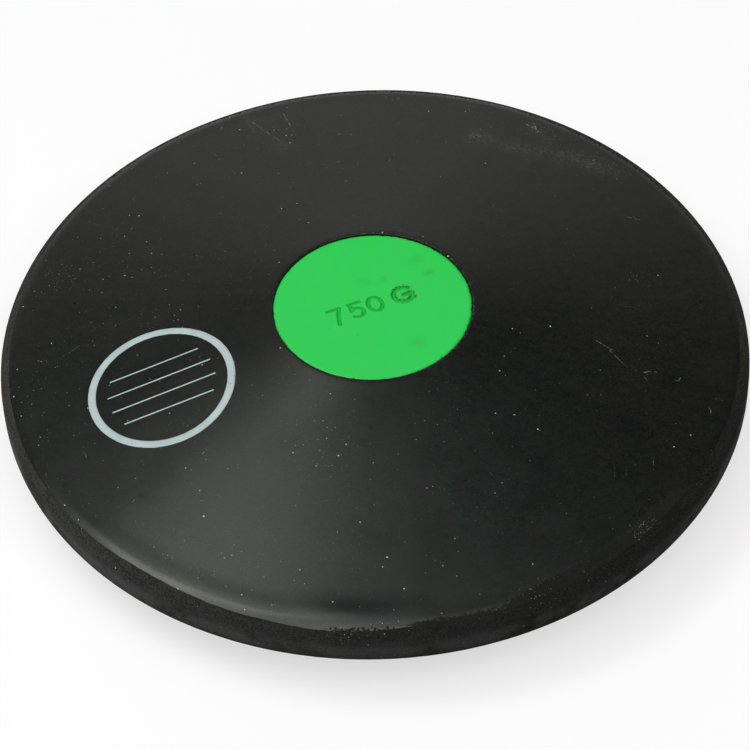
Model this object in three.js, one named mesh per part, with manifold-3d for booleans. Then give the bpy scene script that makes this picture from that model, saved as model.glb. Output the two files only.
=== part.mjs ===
// A moulded rubber throwing discus, in millimetres, +Z up. The origin is the middle of the flat
// ring that it rests on, and +X is the way that the sunk mark on its upper plate reads.
// Two rubber halves meet at mid height and close over a steel disc, which brings the moulding up
// to its throwing weight. A coloured rubber plate fills a recess in the middle of each face.
import * as THREE from 'three';
import { mergeVertices } from 'three/addons/utils/BufferGeometryUtils.js';
import Module from 'manifold-3d';

const { degToRad } = THREE.MathUtils;
const wasm = await Module();
wasm.setup();

// The whole discus.
const discusDiameter = 170;
const discusThickness = 33;

// The rim, where the flash of the mould was buffed away: an upright flank, a rounded corner and a
// bevel that runs in to the break line, where the moulded face begins.
const buffedWidth = 2.3;
const buffedHeight = 9.3;
const bevelSlopeDegrees = 35;
const rimCornerRadius = 2.5;

// The moulded face: a rounded shoulder next to the break line, a straight taper, and a narrow
// flat land round the plate, which is what the discus rests on.
const shoulderRadius = 9;
const shoulderEndSlopeDegrees = 25;
const landWidth = 1.4;

// The centre plate and how deep it lies below the land.
const plateDiameter = 44.8;
const plateThickness = 3;
const plateInset = 0.5;
const plateEdgeRadius = 0.5;

// The steel disc inside, with key holes that the rubber fills.
const coreDiameter = 74;
const coreThickness = 8.5;
const coreBevel = 0.6;
const keyHoleDiameter = 10;
const keyHoleInset = 13;
const keyHoleCount = 6;

// The space left all round the plates, the core and the rubber keys.
const mouldingGap = 0.3;

// The mark sunk in each plate: the throwing weight in grams.
const markHeight = 5.1;
const markStroke = 0.9;
const markDepth = 0.6;
const markRise = 0.5;
const cutOverrun = 1;

// Each character of the mark: its strokes, its width and the space after it. A stroke is either a
// list of points joined by straight runs, or an arc of an ellipse with a middle and a reach. They
// lie on the stroke's middle line, as shares of the box that the middle lines fill.
const sevenShares = [
  [[-0.16, 1], [1.16, 1]],
  [[1, 1], [0.62, 0.45], [0.38, -0.1]],
];
const fiveShares = [
  [[0.02, 1], [1.08, 1]],
  [[0.19, 1.1], [0.06, 0.42]],
  { middle: [0.48, 0.32], reach: [0.52, 0.32], fromDegrees: 152, toDegrees: -152 },
];
const zeroShares = [
  { middle: [0.5, 0.5], reach: [0.5, 0.5], fromDegrees: -5, toDegrees: 185 },
  { middle: [0.5, 0.5], reach: [0.5, 0.5], fromDegrees: 175, toDegrees: 365 },
];
const gramShares = [
  { middle: [0.5, 0.5], reach: [0.5, 0.5], fromDegrees: 38, toDegrees: 322 },
  [[0.98, 0.08], [0.98, 0.54]],
  [[0.54, 0.44], [1.08, 0.44]],
];
const markCharacters = [
  { strokeShares: sevenShares, width: 3.6, space: 0.95 },
  { strokeShares: fiveShares, width: 3.5, space: 0.7 },
  { strokeShares: zeroShares, width: 3.7, space: 2.9 },
  { strokeShares: gramShares, width: 5.1, space: 0 },
];

// How finely round forms are cut into flats.
const turnSteps = 96;
const keySteps = 24;
const cornerSteps = 5;
const shoulderSteps = 6;
const edgeSteps = 3;
const arcSteps = 18;

const discusRadius = discusDiameter / 2;
const halfThickness = discusThickness / 2;
const plateRadius = plateDiameter / 2;
const recessRadius = plateRadius + mouldingGap;
const landRadius = recessRadius + landWidth;
const seatHeight = halfThickness - plateInset - plateThickness;
const coreRadius = coreDiameter / 2;
const coreHalf = coreThickness / 2;
const pocketRadius = coreRadius + mouldingGap;
const keyHoleRadius = keyHoleDiameter / 2;
const keyRadius = keyHoleRadius - mouldingGap;
const keyCircleRadius = coreRadius - keyHoleInset;

const blackRubber = new THREE.MeshStandardMaterial({ color: 0x2a2b2a, roughness: 0.45, metalness: 0 });
const greenRubber = new THREE.MeshStandardMaterial({ color: 0x38cd5a, roughness: 0.55, metalness: 0 });
const coreSteel = new THREE.MeshStandardMaterial({ color: 0x8c8f91, roughness: 0.5, metalness: 1 });

// A closed three.js geometry as a solid that can be cut and joined.
function solidOf(geometry) {
  const bare = geometry.clone();
  bare.deleteAttribute('normal');
  bare.deleteAttribute('uv');
  const merged = mergeVertices(bare);
  const corners = merged.index.array;
  const triangles = [];
  for (let i = 0; i < corners.length; i += 3) {
    const triangle = corners.slice(i, i + 3);
    if (new Set(triangle).size === triangle.length) triangles.push(...triangle);
  }
  const vertProperties = new Float32Array(merged.attributes.position.array);
  const triVerts = new Uint32Array(triangles);
  return new wasm.Manifold(new wasm.Mesh({ numProp: 3, vertProperties, triVerts }));
}

// A solid as a three.js geometry, with a flat normal on each triangle.
function geometryOf(solid) {
  const mesh = solid.getMesh();
  const shared = new THREE.BufferGeometry();
  shared.setAttribute('position', new THREE.BufferAttribute(mesh.vertProperties, mesh.numProp));
  shared.setIndex(new THREE.BufferAttribute(mesh.triVerts, 1));
  const geometry = shared.toNonIndexed();
  geometry.computeVertexNormals();
  return geometry;
}

// A section of radius and height points, turned about the Z axis.
function turned(section, steps) {
  return new THREE.LatheGeometry(section, steps).rotateX(Math.PI / 2);
}

// Points on an arc in a section, from one angle to another, measured from the outward direction.
function arc(centre, radius, from, to, steps) {
  const points = [];
  for (let i = 0; i <= steps; i += 1) {
    const angle = from + (to - from) * i / steps;
    points.push(new THREE.Vector2(radius, 0).rotateAround(new THREE.Vector2(), angle).add(centre));
  }
  return points;
}

// The break line, where the buffed rim meets the moulded face.
function breakPoint() {
  return new THREE.Vector2(discusRadius - buffedWidth, buffedHeight / 2);
}

// The buffed rim's section from the mid plane up to the break line. The corner arc touches both
// the flank and the bevel.
function rimSection() {
  const slope = degToRad(bevelSlopeDegrees);
  const bevelNormal = Math.PI / 2 - slope;
  const bevelFoot = buffedHeight / 2 - buffedWidth * Math.tan(slope);
  const flankTop = bevelFoot - rimCornerRadius * Math.tan(bevelNormal / 2);
  const centre = new THREE.Vector2(discusRadius - rimCornerRadius, flankTop);
  return [
    new THREE.Vector2(discusRadius, 0),
    ...arc(centre, rimCornerRadius, 0, bevelNormal, cornerSteps),
    breakPoint(),
  ];
}

// The moulded face's section from the break line in to the recess. The taper leaves the land's
// edge and touches the shoulder's arc.
function faceSection() {
  const endNormal = Math.PI / 2 - degToRad(shoulderEndSlopeDegrees);
  const toBreak = new THREE.Vector2(shoulderRadius, 0).rotateAround(new THREE.Vector2(), endNormal);
  const centre = breakPoint().sub(toBreak);
  const landEdge = new THREE.Vector2(landRadius, halfThickness);
  const toCentre = centre.clone().sub(landEdge);
  const taperAngle = Math.atan2(toCentre.y, toCentre.x) + Math.asin(shoulderRadius / toCentre.length());
  const taperNormal = taperAngle + Math.PI / 2;
  return [
    ...arc(centre, shoulderRadius, endNormal, taperNormal, shoulderSteps).slice(1),
    landEdge,
    new THREE.Vector2(recessRadius, halfThickness),
  ];
}

// A round peg on the key circle, from one height to another, at one of the evenly spaced places.
function peg(radius, bottom, top, place) {
  const length = top - bottom;
  const geometry = new THREE.CylinderGeometry(radius, radius, length, keySteps).rotateX(Math.PI / 2);
  geometry.translate(keyCircleRadius, 0, bottom + length / 2);
  return solidOf(geometry.rotateZ(2 * Math.PI * place / keyHoleCount));
}

// One rubber half, standing on the mid plane: a pocket for the core below, and a recess for the
// plate above. Round keys stand in the pocket and fill the core's holes to the mid plane.
function bodyHalf() {
  const section = [
    new THREE.Vector2(0, coreHalf),
    new THREE.Vector2(pocketRadius, coreHalf),
    new THREE.Vector2(pocketRadius, 0),
    ...rimSection(),
    ...faceSection(),
    new THREE.Vector2(recessRadius, seatHeight),
    new THREE.Vector2(0, seatHeight),
  ];
  let half = solidOf(turned(section, turnSteps));
  for (let place = 0; place < keyHoleCount; place += 1) {
    half = half.add(peg(keyRadius, 0, (coreHalf + seatHeight) / 2, place));
  }
  return geometryOf(half);
}

// The steel disc, its middle at the origin, with bevelled edges and key holes.
function coreWeight() {
  const section = [
    new THREE.Vector2(0, -coreHalf),
    new THREE.Vector2(coreRadius - coreBevel, -coreHalf),
    new THREE.Vector2(coreRadius, coreBevel - coreHalf),
    new THREE.Vector2(coreRadius, coreHalf - coreBevel),
    new THREE.Vector2(coreRadius - coreBevel, coreHalf),
    new THREE.Vector2(0, coreHalf),
  ];
  let core = solidOf(turned(section, turnSteps));
  for (let place = 0; place < keyHoleCount; place += 1) {
    core = core.subtract(peg(keyHoleRadius, -coreHalf - cutOverrun, coreHalf + cutOverrun, place));
  }
  return geometryOf(core);
}

// The middle line of a stroke, in a box with its lower left corner at the origin.
function middleLine(stroke, box) {
  if (Array.isArray(stroke)) return stroke.map(([x, y]) => new THREE.Vector2(x, y).multiply(box));
  const middle = new THREE.Vector2(...stroke.middle);
  const reach = new THREE.Vector2(...stroke.reach);
  const from = degToRad(stroke.fromDegrees);
  const to = degToRad(stroke.toDegrees);
  const unitArc = arc(new THREE.Vector2(), 1, from, to, arcSteps);
  return unitArc.map((point) => point.multiply(reach).add(middle).multiply(box));
}

// A stroke of the mark as a flat outline of one width, with square ends.
function strokeOutline(line) {
  const left = [];
  const right = [];
  line.forEach((point, i) => {
    const before = line[Math.max(i - 1, 0)];
    const after = line[Math.min(i + 1, line.length - 1)];
    const along = after.clone().sub(before).setLength(markStroke / 2);
    const across = new THREE.Vector2(-along.y, along.x);
    left.push(point.clone().add(across));
    right.unshift(point.clone().sub(across));
  });
  return new THREE.Shape([...left, ...right]);
}

// The mark as a list of solids to cut away, centred on the axis, with its floor at height zero.
function markCuts() {
  const markLength = markCharacters.reduce((sum, { width, space }) => sum + width + space, 0);
  const cuts = [];
  let start = -markLength / 2;
  for (const { strokeShares, width, space } of markCharacters) {
    const box = new THREE.Vector2(width - markStroke, markHeight - markStroke);
    for (const stroke of strokeShares) {
      const outline = strokeOutline(middleLine(stroke, box));
      const cut = new THREE.ExtrudeGeometry(outline, { depth: markDepth + cutOverrun, bevelEnabled: false });
      cut.translate(start + markStroke / 2, markRise - box.y / 2, 0);
      cuts.push(solidOf(cut));
    }
    start += width + space;
  }
  return cuts;
}

// One centre plate, standing on its seat, with a rounded upper edge and the mark sunk in its top.
function centrePlate() {
  const edgeCentre = new THREE.Vector2(plateRadius - plateEdgeRadius, plateThickness - plateEdgeRadius);
  const section = [
    new THREE.Vector2(0, 0),
    new THREE.Vector2(plateRadius, 0),
    ...arc(edgeCentre, plateEdgeRadius, 0, Math.PI / 2, edgeSteps),
    new THREE.Vector2(0, plateThickness),
  ];
  let plate = solidOf(turned(section, turnSteps));
  for (const cut of markCuts()) {
    plate = plate.subtract(cut.translate([0, 0, plateThickness - markDepth]));
  }
  return geometryOf(plate);
}

function named(name, geometry, material) {
  const mesh = new THREE.Mesh(geometry, material);
  mesh.name = name;
  return mesh;
}

// One half of the discus, with its parting face on the group's own zero plane.
function halfGroup(prefix) {
  const group = new THREE.Group();
  const plate = named(`${prefix}_centre_plate`, centrePlate(), greenRubber);
  plate.position.z = seatHeight;
  group.add(named(`${prefix}_body`, bodyHalf(), blackRubber), plate);
  group.position.z = halfThickness;
  return group;
}

const discus = new THREE.Group();
const upperHalf = halfGroup('upper');
const lowerHalf = halfGroup('lower');
lowerHalf.rotation.x = Math.PI;
const core = named('core_weight', coreWeight(), coreSteel);
core.position.z = halfThickness;
discus.add(upperHalf, lowerHalf, core);

export default discus;
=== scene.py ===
"""A moulded rubber throwing discus, dressed for its photograph.

Lengths are in metres and places are in the CAD model's frame: +Z up, the origin in the middle of
the ring that the discus rests on, and +X the way that the sunk mark reads.
"""

import math

import bpy
import numpy as np
from mathutils import Matrix, Quaternion, Vector, geometry, noise


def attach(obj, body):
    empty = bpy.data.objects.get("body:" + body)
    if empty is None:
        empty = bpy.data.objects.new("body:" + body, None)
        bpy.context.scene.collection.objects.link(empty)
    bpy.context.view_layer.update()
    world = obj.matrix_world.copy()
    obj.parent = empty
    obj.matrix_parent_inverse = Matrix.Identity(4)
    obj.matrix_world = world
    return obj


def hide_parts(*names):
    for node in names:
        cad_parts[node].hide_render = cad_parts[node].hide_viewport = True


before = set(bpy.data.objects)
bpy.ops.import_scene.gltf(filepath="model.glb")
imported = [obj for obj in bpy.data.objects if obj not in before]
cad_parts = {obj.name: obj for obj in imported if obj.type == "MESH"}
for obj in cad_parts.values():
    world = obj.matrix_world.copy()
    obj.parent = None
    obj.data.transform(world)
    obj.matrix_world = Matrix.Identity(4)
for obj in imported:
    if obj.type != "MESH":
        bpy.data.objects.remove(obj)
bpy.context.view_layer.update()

MM = 0.001

# The discus, as the CAD model has it. Heights are from the middle plane unless a name says else.
RADIUS = 85 * MM
HALF_THICKNESS = 16.5 * MM
MIDDLE = 16.5 * MM
BUFFED_WIDTH = 2.3 * MM
BREAK_HEIGHT = 4.65 * MM
BEVEL_SLOPE = math.radians(35)
CORNER_RADIUS = 2.5 * MM
SHOULDER_RADIUS = 9 * MM
SHOULDER_END_SLOPE = math.radians(25)
LAND_OUTER = 24.1 * MM
RECESS_RADIUS = 22.7 * MM
SEAT_HEIGHT = 13 * MM
PLATE_RADIUS = 22.4 * MM
PLATE_TOP = 16.2 * MM
POCKET_RADIUS = 37.3 * MM
POCKET_HEIGHT = 4.25 * MM
KEY_RADIUS = 4.7 * MM
KEY_CIRCLE = 24 * MM
KEY_COUNT = 6

# The camera stands where the photograph was taken from.
PHOTO_TURN = math.radians(-21.9)
CAMERA_DISTANCE = 761.6 * MM
CAMERA_ELEVATION = math.radians(47.55)
CAMERA_TILT = math.radians(-0.345)
CAMERA_ROLL = math.radians(-2.298)
CAMERA_LENS = 160.4
CAMERA_SENSOR = 36
CAMERA_SHIFT = (-0.0005, -0.0003)


def photo_place(right, away, height=0.0):
    """A place given as the photograph sees it: to the right, away from the camera, and up."""
    turned = Matrix.Rotation(PHOTO_TURN, 3, "Z") @ Vector((right, away, 0))
    return Vector((turned.x, turned.y, height))


def make_camera():
    middle = Vector((0, 0, MIDDLE))
    back = CAMERA_DISTANCE * math.cos(CAMERA_ELEVATION)
    place = middle + photo_place(0, -back, CAMERA_DISTANCE * math.sin(CAMERA_ELEVATION))
    turn = (middle - place).to_track_quat("-Z", "Y")
    turn = turn @ Quaternion((1, 0, 0), CAMERA_TILT) @ Quaternion((0, 0, 1), CAMERA_ROLL)
    data = bpy.data.cameras.new("photo_camera")
    data.lens = CAMERA_LENS
    data.sensor_width = CAMERA_SENSOR
    data.sensor_fit = "HORIZONTAL"
    data.shift_x, data.shift_y = CAMERA_SHIFT
    data.clip_start = 10 * MM
    data.clip_end = 200
    camera = bpy.data.objects.new("photo_camera", data)
    camera.location = place
    camera.rotation_mode = "QUATERNION"
    camera.rotation_quaternion = turn
    bpy.context.scene.collection.objects.link(camera)
    bpy.context.scene.camera = camera


make_camera()


# Shader graphs

def socket(holder, wanted):
    """An input by its name or number. Names that a node repeats are found by the live one."""
    if isinstance(wanted, int):
        return holder.inputs[wanted]
    return next(s for s in holder.inputs if s.name == wanted and s.enabled)


def fill(tree, target, value):
    """Links another node's output to an input, or gives the input a value of its own."""
    if isinstance(value, bpy.types.NodeSocket):
        tree.links.new(value, target)
    else:
        target.default_value = value


def add(tree, kind, settings=None, **inputs):
    """A new node. Inputs take a plain value or another node's output; a_b stands for 'A B'."""
    made = tree.nodes.new("ShaderNode" + kind)
    for key, value in (settings or {}).items():
        setattr(made, key, value)
    for key, value in inputs.items():
        wanted = int(key[1:]) if key[0] == "i" and key[1:].isdigit() else key.replace("_", " ").title()
        fill(tree, socket(made, wanted), value)
    return made


def calculated(tree, operation, a, b=0.0, c=0.0, clamp=False):
    settings = {"operation": operation, "use_clamp": clamp}
    return add(tree, "Math", settings, i0=a, i1=b, i2=c).outputs[0]


def product(tree, first, *factors):
    for factor in factors:
        first = calculated(tree, "MULTIPLY", first, factor)
    return first


def most(tree, first, *others):
    for other in others:
        first = calculated(tree, "MAXIMUM", first, other)
    return first


def vector_math(tree, operation, *values):
    """A vector, or a number where the operation gives one."""
    inputs = {"i%d" % k: value for k, value in enumerate(values)}
    made = add(tree, "VectorMath", {"operation": operation}, **inputs)
    return made.outputs["Value" if operation in ("DISTANCE", "LENGTH", "DOT_PRODUCT") else "Vector"]


def flattened(tree, where):
    return vector_math(tree, "MULTIPLY", where, (1, 1, 0))


def along_photo(tree, where, right, away):
    """How far each place lies in a direction that is given as photographed."""
    return vector_math(tree, "DOT_PRODUCT", where, tuple(photo_place(right, away)))


def ramp(tree, value, low, high, to_low=0.0, to_high=1.0):
    """Carries a value from one range to another, smoothly, and holds it at the ends."""
    made = add(tree, "MapRange", {"interpolation_type": "SMOOTHSTEP"}, i0=value, i1=low, i2=high,
               i3=to_low, i4=to_high)
    return made.outputs[0]


def mix_colour(tree, share, first, second):
    """A colour between two others. A plain colour is given as red, green and blue."""
    made = add(tree, "Mix", {"data_type": "RGBA"})
    for place, value in ((0, share), (6, first), (7, second)):
        fill(tree, made.inputs[place], (*value, 1) if isinstance(value, tuple) else value)
    return made.outputs[2]


def painted(tree, base, *layers):
    """A colour with others laid over it in turn. Each layer is its share and its colour."""
    for share, colour in layers:
        base = mix_colour(tree, share, base, colour)
    return base


def value_of(tree, name):
    """A value that the mesh carries at its points."""
    return add(tree, "Attribute", {"attribute_name": name}).outputs["Fac"]


def noise_at(tree, where, scale, detail, rough, distortion=0.0):
    made = add(tree, "TexNoise", None, vector=where, scale=scale, detail=detail, roughness=rough,
               distortion=distortion)
    return made.outputs[0]


def noises_at(tree, where, table):
    return {name: noise_at(tree, where, *numbers) for name, numbers in table.items()}


def bump(tree, height, millimetres, under=None):
    """The normal of a surface with some height on it, over another bump if that is given."""
    below = {} if under is None else {"normal": under}
    made = add(tree, "Bump", None, strength=1.0, distance=millimetres * MM, height=height, **below)
    return made.outputs[0]


def new_material(name):
    """A material with an empty Principled shader, its tree and the object's own coordinates."""
    material = bpy.data.materials.new(name)
    material.use_nodes = True
    tree = material.node_tree
    return material, tree, tree.nodes["Principled BSDF"], add(tree, "TexCoord").outputs["Object"]


PLAIN_INPUTS = {"ior": "IOR", "tint": "Specular Tint", "level": "Specular IOR Level",
                "metallic": "Metallic"}


def shade(tree, shader, colour, roughness, normal, **plain):
    """Links what varies over the surface, and sets what is the same all over it."""
    linked = {"Base Color": colour, "Roughness": roughness, "Normal": normal}
    for name, value in linked.items():
        tree.links.new(value, shader.inputs[name])
    for name, value in plain.items():
        shader.inputs[PLAIN_INPUTS[name]].default_value = value


def specks(tree, where, scale, smallest, largest, density, crispness=4):
    """Round specks in random cells, and a random number in each. Reaches are shares of a cell.

    Density, from 0 to 1, says how many cells have a speck.
    """
    cells = add(tree, "TexVoronoi", None, vector=where, scale=scale)
    chance = add(tree, "SeparateColor", None, color=cells.outputs["Color"]).outputs
    reach = ramp(tree, chance[0], 0, 1, smallest, largest)
    inside = calculated(tree, "SUBTRACT", reach, cells.outputs["Distance"])
    soft = calculated(tree, "MULTIPLY", inside, crispness / largest, clamp=True)
    return product(tree, soft, calculated(tree, "LESS_THAN", chance[1], density)), chance[2]


DUST_CRISPNESS = 6
DIMMEST_SHARE = 0.3


def dust_layer(tree, where, scale, smallest, largest, density, strength):
    """Specks whose brightness varies from one to the next."""
    mask, chance = specks(tree, where, scale, smallest, largest, density, DUST_CRISPNESS)
    return product(tree, mask, ramp(tree, chance, 0.1, 1, strength * DIMMEST_SHARE, strength))


def place_mask(tree, where, places):
    """A soft mask round each place of a table: right, away, reach and strength, as photographed."""
    flat = flattened(tree, where)
    masks = []
    for right, away, reach, strength in places:
        gap = vector_math(tree, "DISTANCE", flat, tuple(photo_place(right * MM, away * MM)))
        masks.append(ramp(tree, gap, 0, reach * MM, strength, 0))
    return most(tree, *masks)


def near_line(tree, flat, first, second, reach):
    """A soft mask along the straight run between two places."""
    run = second - first
    offset = vector_math(tree, "SUBTRACT", flat, tuple(first))
    along = vector_math(tree, "DOT_PRODUCT", offset, tuple(run / run.length_squared))
    share = calculated(tree, "ADD", along, clamp=True)
    foot = add(tree, "VectorMath", {"operation": "SCALE"}, i0=tuple(run), scale=share).outputs[0]
    return ramp(tree, vector_math(tree, "DISTANCE", offset, foot), 0, reach, 1, 0)


# The moulded rubber. Here and below, a noise is its scale, detail, roughness and distortion, and a
# dust is its cells a metre, its smallest and largest reach in shares of a cell, the share of the
# cells that have a speck, and how pale the specks are.

RUBBER_IOR = 1.5
RUBBER_TINT = (0.96, 1.0, 0.87, 1)
DUST_COLOUR = (0.72, 0.70, 0.64)
FACE_NOISES = {
    "cloudy": (34, 4, 0.55, 0.5),
    "mottle": (120, 3, 0.6, 0.3),
    "blooming": (170, 4, 0.7, 0.4),
    "stainy": (210, 3, 0.65, 0.4),
    "mealy": (620, 4, 0.75),
    "grain": (2300, 2, 0.6),
    "fibrous": (1500, 3, 0.75),
    "drifted": (60, 3, 0.6),
    "sparse": (90, 3, 0.6),
    "broken": (1400, 2, 0.7),
    "powdery": (1400, 3, 0.75),
}
WIPING_NOISE = (18, 4, 0.65)
FLASH_NOISE = (1700, 3, 0.7)
FACE_DARK = (0.0015, 0.0027, 0.0029)
FACE_LIGHT = (0.0037, 0.0048, 0.0046)
STAIN = (0.0068, 0.0064, 0.0046)
BLOOM = (0.0006, 0.0108, 0.0122)
WIPED = (0.0105, 0.0108, 0.0095)
MEAL_LIGHT = (0.0130, 0.0137, 0.0125)
MEAL_DARK = (0.0014, 0.0016, 0.0016)
GRAIN = (0.0185, 0.0192, 0.0180)
# A pale filmy layer, partly painted highlight: it carries part of the softbox's reflection on the lower left
# of the face.
FILM_AND_HIGHLIGHT = (0.0290, 0.0322, 0.0246)
# Dark spots, and painted shade where the broad dark places lie.
DARK_SPOT_AND_SHADE = (0.0006, 0.0008, 0.0008)
FRAY_DARK = (0.0012, 0.0012, 0.0009)
FRAY_LIGHT = (0.0068, 0.0065, 0.0052)
FLASH_CRUMB = (0.16, 0.125, 0.08)
# The density here is a share of the face's own, which the places and the noises give.
FACE_DUST = (
    (600, 0.05, 0.122, 1.1, 1.0),
    (1100, 0.05, 0.13, 1.0, 0.55),
    (1900, 0.07, 0.15, 1.0, 0.34),
)
HEAP_DUST = (
    (3600, 0.14, 0.30, 1.0, 0.9),
    (2200, 0.07, 0.18, 0.6, 1.0),
)
LEAST_DUST, MOST_DUST = 0.042, 0.238
# How far outside the plate the residue begins, is full, falls off and ends, in millimetres.
RESIDUE_GAPS = (0.05, 0.2, 0.3, 0.75)
# The face is dustier on the photograph's left. The dust falls off between these two places.
SWEPT_FROM, SWEPT_TO = -64 * MM, 48 * MM

# Scratches on the upper face, as the photograph sees it, in millimetres: from right and away to
# right and away, half width, and how pale.
SCRATCHES = (
    (49.5, -8.5, 53.0, -11.0, 0.16, 0.3),
    (52.5, -11.2, 56.0, -15.6, 0.14, 0.24),
    (59.4, -16.9, 61.1, -16.3, 0.15, 0.4),
    (61.1, -16.3, 62.8, -16.3, 0.15, 0.45),
    (59.7, -18.0, 60.5, -19.4, 0.14, 0.16),
    (66.0, -17.9, 67.3, -18.4, 0.14, 0.26),
    (67.3, -18.4, 67.9, -17.4, 0.14, 0.26),
    (73.4, -25.1, 73.9, -25.9, 0.14, 0.30),
    (73.9, -25.9, 73.8, -26.9, 0.14, 0.34),
    (73.8, -26.9, 73.2, -27.3, 0.14, 0.30),
    (53.8, -42.5, 53.6, -45.1, 0.14, 0.16),
    (59.9, -40.7, 59.6, -43.9, 0.14, 0.22),
    (51.2, -43.4, 51.0, -45.8, 0.14, 0.12),
    (-76.0, -3.4, -75.1, -3.9, 0.16, 0.45),
    (-64.7, -31.6, -64.0, -33.9, 0.14, 0.22),
    (-27.2, 72.0, -20.0, 62.2, 0.2, 0.22),
    (-19.6, 74.4, -18.0, 69.0, 0.22, 0.3),
    (40.4, 68.0, 41.2, 64.6, 0.24, 0.4),
    (-71.0, -4.0, -66.5, -1.0, 0.12, 0.25),
    (38.6, 67.6, 41.0, 65.4, 0.2, 0.5),
    (60.0, 33.4, 63.0, 32.6, 0.14, 0.3),
)

# Dark places on the upper face, in millimetres: right, away, reach and how dark. The first ones
# are small spots, and the broad ones are painted shade: a darker reflection inside the near shoulder.
DARK_SPOTS_AND_SHADE = (
    (-68.6, -40.0, 1.3, 0.9),
    (-60.8, -42.2, 1.0, 0.9),
    (-51.9, -45.7, 1.0, 0.8),
    (-63.8, -33.9, 0.8, 0.8),
    (-70.2, -21.5, 0.7, 0.6),
    (-56.0, -33.5, 0.8, 0.5),
    (-1.0, -72.0, 14, 0.42),
    (7.0, -69.0, 18, 0.42),
    (15.0, -69.0, 14, 0.30),
    (24.0, -67.0, 11, 0.20),
)


def face_colour(tree, where, noises, filmed_and_lit):
    """Mottled rubber under stains, bloom, wiping marks, a pale filmy layer that partly paints a highlight,
    dark spots and painted shade.
    """
    mealy, grain = noises["mealy"], noises["grain"]
    clouds = ramp(tree, noises["blooming"], 0.34, 0.62, 0.15, 1.15)
    bloom = calculated(tree, "MULTIPLY", value_of(tree, "bloomed"), clouds, clamp=True)
    bloom = calculated(tree, "MULTIPLY", bloom, ramp(tree, grain, 0.34, 0.66, 0.55, 1.35), clamp=True)
    outward = vector_math(tree, "NORMALIZE", flattened(tree, where))
    film_and_highlight = product(tree, filmed_and_lit, ramp(tree, mealy, 0.34, 0.64, 0.94, 1.04),
                   ramp(tree, grain, 0.34, 0.66, 0.6, 1.0))
    base = mix_colour(tree, ramp(tree, noises["cloudy"], 0.34, 0.66), FACE_DARK, FACE_LIGHT)
    return painted(
        tree, base,
        (ramp(tree, noises["stainy"], 0.42, 0.66, 0, 0.6), STAIN),
        (bloom, BLOOM),
        (ramp(tree, noise_at(tree, outward, *WIPING_NOISE), 0.36, 0.66, 0, 0.45), WIPED),
        (ramp(tree, mealy, 0.46, 0.68, 0, 0.6), MEAL_LIGHT),
        (ramp(tree, mealy, 0.32, 0.46, 0.7, 0), MEAL_DARK),
        (ramp(tree, grain, 0.38, 0.68, 0, 0.52), GRAIN),
        # Painted highlight: part of the softbox's reflection, laid on as a pale filmy layer.
        (film_and_highlight, FILM_AND_HIGHLIGHT),
        # Painted shade where the broad dark places lie, over a few real dark spots.
        (place_mask(tree, where, DARK_SPOTS_AND_SHADE), DARK_SPOT_AND_SHADE),
    )


def face_dust(tree, where, noises, filmed_and_lit):
    """Dust, heaps of it, scratches and powder, as one mask of how pale the face is."""
    gathered = product(tree, value_of(tree, "dusty"), ramp(tree, noises["drifted"], 0.36, 0.66))
    sparse = ramp(tree, noises["sparse"], 0.4, 0.66, LEAST_DUST, MOST_DUST)
    swept = ramp(tree, along_photo(tree, where, 1, 0), SWEPT_FROM, SWEPT_TO, 1.75, 0.38)
    density = product(tree, calculated(tree, "ADD", gathered, sparse), swept,
                      ramp(tree, filmed_and_lit, 0, 1, 1, 0.58))
    masks = []
    for spread_density, dusts in ((density, FACE_DUST), (value_of(tree, "heaped"), HEAP_DUST)):
        for scale, smallest, largest, share, strength in dusts:
            masks.append(dust_layer(tree, where, scale, smallest, largest,
                                    product(tree, spread_density, share), strength))
    broken = ramp(tree, noises["broken"], 0.42, 0.6)
    flat = flattened(tree, where)
    for right_1, away_1, right_2, away_2, half, strength in SCRATCHES:
        first, second = photo_place(right_1 * MM, away_1 * MM), photo_place(right_2 * MM, away_2 * MM)
        masks.append(product(tree, near_line(tree, flat, first, second, half * MM), broken, strength))
    powder = ramp(tree, noises["powdery"], 0.42, 0.7, 0.01, 0.13)
    return most(tree, *masks, product(tree, value_of(tree, "powdered"), powder))


def edge_residue(tree, where):
    """Brownish crumbs of cut flash along the recess, mostly on its right as photographed."""
    away = vector_math(tree, "LENGTH", flattened(tree, where))
    begins, full, falls, ends = (PLATE_RADIUS + gap * MM for gap in RESIDUE_GAPS)
    inner = ramp(tree, away, begins, full)
    outer = ramp(tree, away, falls, ends, 1, 0)
    side = ramp(tree, along_photo(tree, where, 1, 0.25), -PLATE_RADIUS, PLATE_RADIUS, 0.05, 1)
    crumbs = ramp(tree, noise_at(tree, where, *FLASH_NOISE), 0.52, 0.66)
    return product(tree, inner, outer, side, crumbs)


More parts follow.
